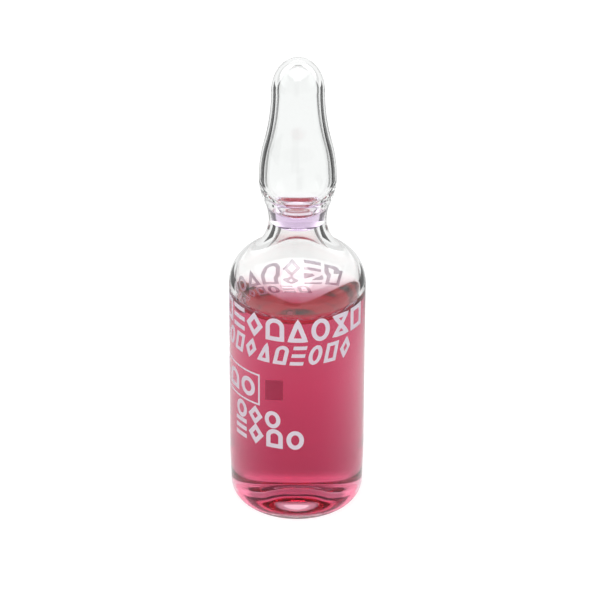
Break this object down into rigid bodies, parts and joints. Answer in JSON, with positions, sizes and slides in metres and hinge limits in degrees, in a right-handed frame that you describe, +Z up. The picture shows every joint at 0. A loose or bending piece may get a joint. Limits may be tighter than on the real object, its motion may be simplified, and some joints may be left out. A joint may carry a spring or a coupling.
{
  "type": "sealed glass ampoule with liquid",
  "caption": "Clear sealed glass ampoule with a narrow break neck and bulb head, part filled with red liquid, standing on its ring base.",
  "frame": {"origin": "centre of the standing ring, on the plane the ampoule stands on", "axes": "+Z up along the axis of the ampoule, from the base to the fused tip; the rows of print end between the -X and the -Y side and run round the body from there"},
  "size_m": [0.0148, 0.0148, 0.0527],
  "materials": {
    "clear_glass": "fire-polished clear borosilicate glass",
    "red_liquid": "clear red-violet watery liquid, deep in colour across the body",
    "lilac_liquid": "the same liquid in a thin layer, pale lilac",
    "white_print": "thin fired white enamel with a slight lilac cast"
  },
  "bodies": {
    "root": {"glass_ampoule": "clear_glass", "liquid_fill": "red_liquid", "neck_drop": "lilac_liquid"}
  },
  "joints": []
}
